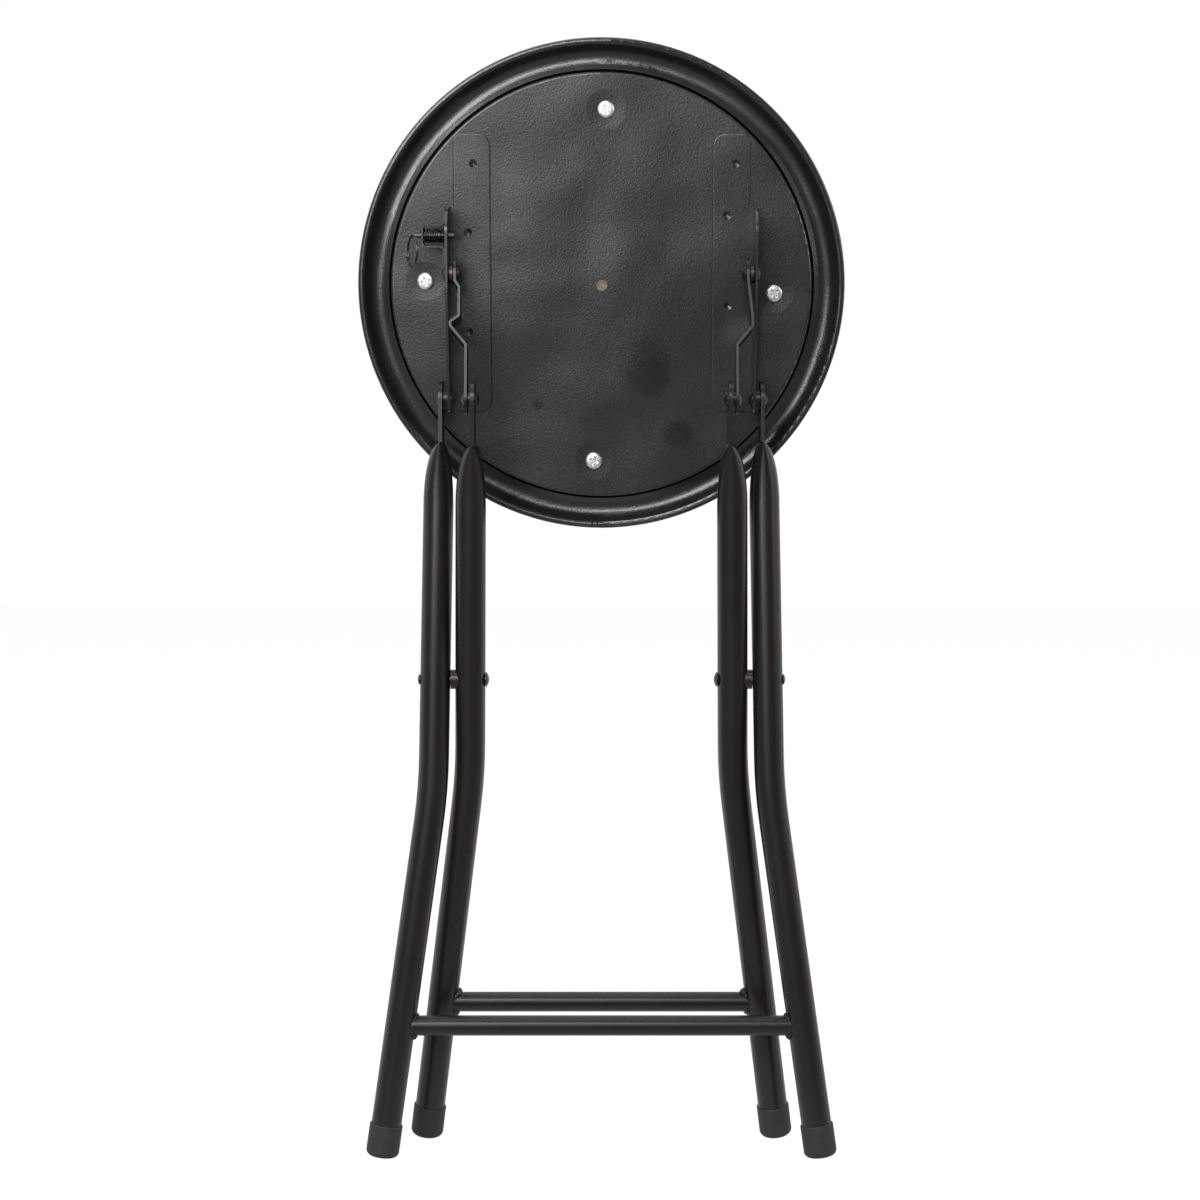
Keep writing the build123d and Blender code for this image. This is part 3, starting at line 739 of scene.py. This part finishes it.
def make_ring():
    """The ring's wire along a coil, hung from the pin's hole."""
    tree = Tree("split_ring")
    tree.size("Ring radius", ring_r)
    tree.size("Wire radius", ring_wire_r)
    tree.size("Rise", ring_pitch * ring_rounds)
    tree.size("Rounds", ring_rounds)
    links = {"Resolution": 72, "Rotations": tree.given("Rounds"), "Height": tree.given("Rise")}
    links["Start Radius"] = tree.given("Ring radius")
    links["End Radius"] = tree.given("Ring radius")
    coil = tree.node("GeometryNodeCurveSpiral", links)
    section = tree.node("GeometryNodeCurvePrimitiveCircle", {"Resolution": 10})
    tree.group.links.new(tree.given("Wire radius"), section.inputs["Radius"])
    links = {"Curve": coil.outputs["Curve"], "Profile Curve": section.outputs["Curve"]}
    links["Fill Caps"] = True
    wire = tree.node("GeometryNodeCurveToMesh", links)
    ring = tree.run(wire.outputs["Mesh"], wire_steel)
    across = Vector((cos(ring_turn), sin(ring_turn), 0.0))
    along = Vector((-sin(ring_turn), cos(ring_turn), 0.0))
    turn = Matrix((along, Vector((0.0, 0.0, 1.0)), across)).transposed().to_4x4()
    turn.translation = ring_hole - Vector((0.0, 0.0, ring_r)) - across * (ring_pitch * ring_rounds / 2)
    ring.data.transform(turn)
    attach(ring, "pull_ring")
    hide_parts("pull_ring")


make_ring()


# Weld beads where the rungs meet the legs. The crossing and the lumps are in metres, noise scales in
# cells a metre, the span in radians, and other sizes in millimetres on the frame's own plane.

crossing = Vector((0.0, -0.015125, 0.294252))
tube_r = 9.25
rung_r = 6.2
bead_steps = 24
bead_span = 1.15
bead_tip = 0.08
bead_lump = 0.0005
bead_count = 60
bead_sides = 14
ripple_scale = 260.0
spatter_scale = 900.0

# For each frame: its lean in degrees, then a leg's knee x, knee drop, foot x, reach and rung drop from the
# crossing, then the radii of the beads above and below, then the least and most share of that by ripples
frames = {
    "outer_frame": (2.30, (103.367, 67.0, 135.2, 293.5, 213.2), (1.7, 2.6), (0.75, 1.15)),
    "inner_frame": (-6.70, (81.222, 59.0, 111.1, 295.1, 207.2), (2.5, 2.2), (0.55, 1.5)),
}


def bead_points(side, middle, knee_x, knee_drop, foot_x, reach, rung_drop):
    """Part of the line round a rung where it meets the leg's tube, on the frame's own plane."""
    knee = Vector((side * knee_x, -knee_drop, 0.0))
    way = (Vector((side * foot_x, -reach, 0.0)) - knee).normalized()
    points = []
    for step in range(bead_steps + 1):
        angle = middle + bead_span * (2 * step / bead_steps - 1)
        start = Vector((0.0, -rung_drop + rung_r * cos(angle), rung_r * sin(angle)))
        gap = start - knee
        flat_gap = gap - way * gap.dot(way)
        flat_x = Vector((1.0, 0.0, 0.0)) - way * way.x
        a = flat_x.dot(flat_x)
        b = 2 * flat_gap.dot(flat_x)
        c = flat_gap.dot(flat_gap) - tube_r**2
        root = max(0.0, b * b - 4 * a * c) ** 0.5
        x = min((-b - root) / (2 * a), (-b + root) / (2 * a), key=abs)
        points.append(start + Vector((x, 0.0, 0.0)))
    return points


def make_welds(body, tilt, shape, beads, ripple):
    """A bead above and one below each end of a rung, thin at their own ends."""
    lean = radians(tilt)
    up = Vector((0.0, sin(lean), cos(lean)))
    out = Vector((0.0, -cos(lean), sin(lean)))
    lines = bmesh.new()
    width = lines.verts.layers.float.new("width")
    for side in (-1, 1):
        for middle, bead_r in zip((0.0, pi), beads):
            line = []
            for step, point in enumerate(bead_points(side, middle, *shape)):
                place = Vector((point.x, 0.0, 0.0)) + up * point.y + out * point.z
                line.append(lines.verts.new(crossing + place * 0.001))
                fade = 1 - (2 * step / bead_steps - 1) ** 2
                line[-1][width] = bead_r * 0.001 * (bead_tip + (1 - bead_tip) * fade)
            for first, last in zip(line, line[1:]):
                lines.edges.new((first, last))
    mesh = bpy.data.meshes.new("weld_lines")
    lines.to_mesh(mesh)
    lines.free()
    tree = Tree(body + "_welds")
    tree.size("Thinnest", ripple[0])
    tree.size("Thickest", ripple[1])
    tree.size("Ripples", ripple_scale)
    tree.size("Spatter", spatter_scale)
    curve = tree.node("GeometryNodeMeshToCurve", {"Mesh": tree.given("Geometry")})
    even = tree.node("GeometryNodeResampleCurve", {"Curve": curve.outputs["Curve"], "Count": bead_count})
    waves = tree.node("ShaderNodeTexNoise", {"Scale": tree.given("Ripples"), "Detail": 3.0})
    range_links = {"Value": waves.outputs["Fac"], "From Min": 0.3, "From Max": 0.7}
    range_links["To Min"] = tree.given("Thinnest")
    range_links["To Max"] = tree.given("Thickest")
    spread = tree.node("ShaderNodeMapRange", range_links)
    bead_width = tree.node("GeometryNodeInputNamedAttribute", {"Name": "width"}, data_type="FLOAT")
    sized = tree.node("ShaderNodeMath", {0: spread.outputs["Result"]}, operation="MULTIPLY")
    tree.group.links.new(bead_width.outputs["Attribute"], sized.inputs[1])
    section = tree.node("GeometryNodeCurvePrimitiveCircle", {"Resolution": bead_sides, "Radius": 1.0})
    links = {"Curve": even.outputs["Curve"], "Profile Curve": section.outputs["Curve"]}
    links["Scale"] = sized.outputs["Value"]
    links["Fill Caps"] = True
    bead = tree.node("GeometryNodeCurveToMesh", links)
    rough = tree.node("ShaderNodeTexNoise", {"Scale": tree.given("Spatter"), "Detail": 2.0})
    links = {"Value": rough.outputs["Fac"], "To Min": -bead_lump, "To Max": bead_lump}
    lift = tree.node("ShaderNodeMapRange", links)
    normal = tree.node("GeometryNodeInputNormal")
    push = tree.node("ShaderNodeVectorMath", {0: normal.outputs["Normal"]}, operation="SCALE")
    tree.group.links.new(lift.outputs["Result"], push.inputs["Scale"])
    links = {"Geometry": bead.outputs["Mesh"], "Offset": push.outputs["Vector"]}
    lumpy = tree.node("GeometryNodeSetPosition", links)
    welds = tree.run(lumpy.outputs["Geometry"], frame_coat, mesh)
    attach(welds, body)


for body, sizes in frames.items():
    make_welds(body, *sizes)


# Stage: white floor, white surround and five soft lamps. Depths run from front to back.

floor_half = 6.0
floor_grey = 0.22
floor_depths = (-0.5, 0.3)
floor_mirrored = (0.02, 0.9)
floor_seen = 0.93
surround_depths = (-0.7, 0.2)
surround_mirrored = (0.10, 1.0)
surround_seen = 1.0
soft_level = 0.27


def brightness(tree, way, depths, mirrored, seen, soft):
    """What a ray finds: for a mirror ray a level from front to back, one for the camera, one for the rest."""
    apart = tree.nodes.new("ShaderNodeSeparateXYZ")
    tree.links.new(way, apart.inputs["Vector"])
    across = tree.nodes.new("ShaderNodeMapRange")
    across.interpolation_type = "SMOOTHSTEP"
    across.inputs["From Min"].default_value = depths[0]
    across.inputs["From Max"].default_value = depths[1]
    across.inputs["To Min"].default_value = mirrored[0]
    across.inputs["To Max"].default_value = mirrored[1]
    tree.links.new(apart.outputs["Y"], across.inputs["Value"])
    path = tree.nodes.new("ShaderNodeLightPath")
    glossy = tree.nodes.new("ShaderNodeMix")
    glossy.inputs["A"].default_value = soft
    tree.links.new(path.outputs["Is Glossy Ray"], glossy.inputs["Factor"])
    tree.links.new(across.outputs["Result"], glossy.inputs["B"])
    clear = tree.nodes.new("ShaderNodeMath")
    clear.operation = "MAXIMUM"
    tree.links.new(path.outputs["Is Camera Ray"], clear.inputs[0])
    tree.links.new(path.outputs["Is Transmission Ray"], clear.inputs[1])
    level = tree.nodes.new("ShaderNodeMix")
    level.inputs["B"].default_value = seen
    tree.links.new(clear.outputs["Value"], level.inputs["Factor"])
    tree.links.new(glossy.outputs["Result"], level.inputs["A"])
    return level.outputs["Result"]


def make_floor():
    """A white floor that keeps the stool's shadow and is dark in front for reflections."""
    shape = bmesh.new()
    bmesh.ops.create_grid(shape, x_segments=1, y_segments=1, size=floor_half)
    mesh = bpy.data.meshes.new("floor")
    shape.to_mesh(mesh)
    shape.free()
    floor = bpy.data.objects.new("floor", mesh)
    bpy.context.collection.objects.link(floor)
    material = bpy.data.materials.new("white_floor")
    material.use_nodes = True
    tree = material.node_tree
    shader = tree.nodes["Principled BSDF"]
    shader.inputs["Base Color"].default_value = (floor_grey, floor_grey, floor_grey, 1)
    shader.inputs["Roughness"].default_value = 1.0
    shader.inputs["Specular IOR Level"].default_value = 0.0
    shader.inputs["Emission Color"].default_value = (1, 1, 1, 1)
    place = tree.nodes.new("ShaderNodeTexCoord").outputs["Object"]
    glow = brightness(tree, place, floor_depths, floor_mirrored, floor_seen, 0.0)
    tree.links.new(glow, shader.inputs["Emission Strength"])
    mesh.materials.append(material)
    floor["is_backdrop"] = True


def make_surround():
    """White to the camera, paler behind the stool than in front for reflections, dim for the rest."""
    world = bpy.data.worlds.new("studio")
    bpy.context.scene.world = world
    world.use_nodes = True
    tree = world.node_tree
    back = tree.nodes["Background"]
    back.inputs["Color"].default_value = (1, 1, 1, 1)
    way = tree.nodes.new("ShaderNodeTexCoord").outputs["Generated"]
    level = brightness(tree, way, surround_depths, surround_mirrored, surround_seen, soft_level)
    tree.links.new(level, back.inputs["Strength"])


def lamp(name, place, aim, width, height, power):
    """A soft rectangular lamp, aimed at a point."""
    light = bpy.data.lights.new(name, "AREA")
    light.shape = "RECTANGLE"
    light.size = width
    light.size_y = height
    light.energy = power
    made = bpy.data.objects.new(name, light)
    made.location = place
    made.rotation_euler = (Vector(aim) - Vector(place)).to_track_quat("-Z", "Y").to_euler()
    bpy.context.collection.objects.link(made)


def make_camera():
    """The photo's camera, as fitted to the stool."""
    lens = bpy.data.cameras.new("camera")
    lens.sensor_width = 36.0
    lens.lens = 68.61
    camera = bpy.data.objects.new("camera", lens)
    camera.location = (-0.0009, -1.4151, 0.4196)
    camera.rotation_euler = (radians(86.87), 0, 0)
    bpy.context.collection.objects.link(camera)
    bpy.context.scene.camera = camera


make_floor()
make_surround()
lamp("top_lamp", (-0.5, -1.55, 1.2), (0.0, -0.02, 0.42), 1.4, 0.6, 23.0)
lamp("front_lamp", (-0.80, -1.7, 0.72), (0.0, 0.0, 0.5), 0.5, 0.5, 7.0)
lamp("card_lamp", (-0.24, -1.7, 0.51), (0.0, 0.0, 0.5), 0.5, 0.34, 1.2)
lamp("roof_lamp", (-0.3, -0.1, 2.0), (0.0, 0.0, 0.5), 1.6, 1.2, 8.0)
lamp("side_lamp", (1.5, -0.6, 0.95), (0.0, 0.0, 0.5), 0.6, 0.9, 6.0)
make_camera()
bpy.context.scene.view_settings.view_transform = "Standard"

visual_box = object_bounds()
sizes = {"cad": [list(corner) for corner in cad_box]}
sizes["visual"] = [list(corner) for corner in visual_box]
